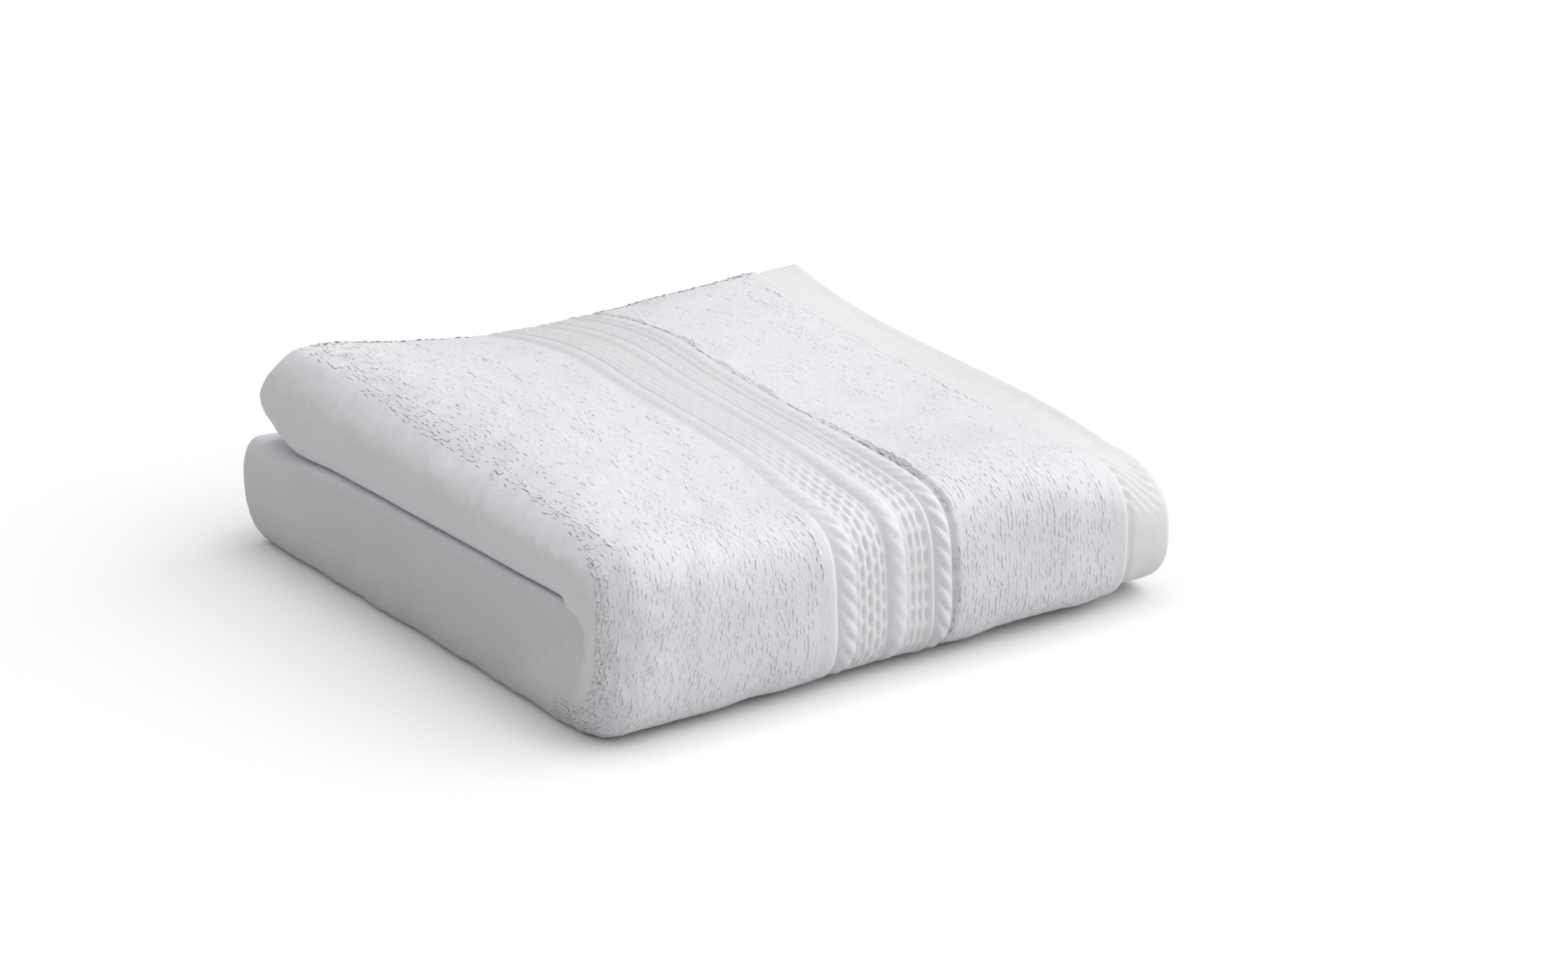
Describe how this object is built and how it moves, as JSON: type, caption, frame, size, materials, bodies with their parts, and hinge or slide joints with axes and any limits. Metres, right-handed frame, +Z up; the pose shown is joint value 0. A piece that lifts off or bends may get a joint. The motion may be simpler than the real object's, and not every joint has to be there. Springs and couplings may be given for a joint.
{
  "type": "washcloth",
  "caption": "White cotton terry washcloth, folded into a soft square stack, with a raised woven border of cables and ribs near its open side and a turned hem.",
  "frame": {"origin": "middle of the underside, at the centre of the box round the folded cloth", "axes": "+X along the front roll from the closed folds to the open hems, +Y from the front roll to the open back edges, +Z up"},
  "size_m": [0.168, 0.1698, 0.0505],
  "materials": {
    "white_terry": "matt looped cotton pile, with a flatter woven border and a plain turned hem"
  },
  "bodies": {
    "root": {"washcloth": "white_terry"}
  },
  "joints": []
}
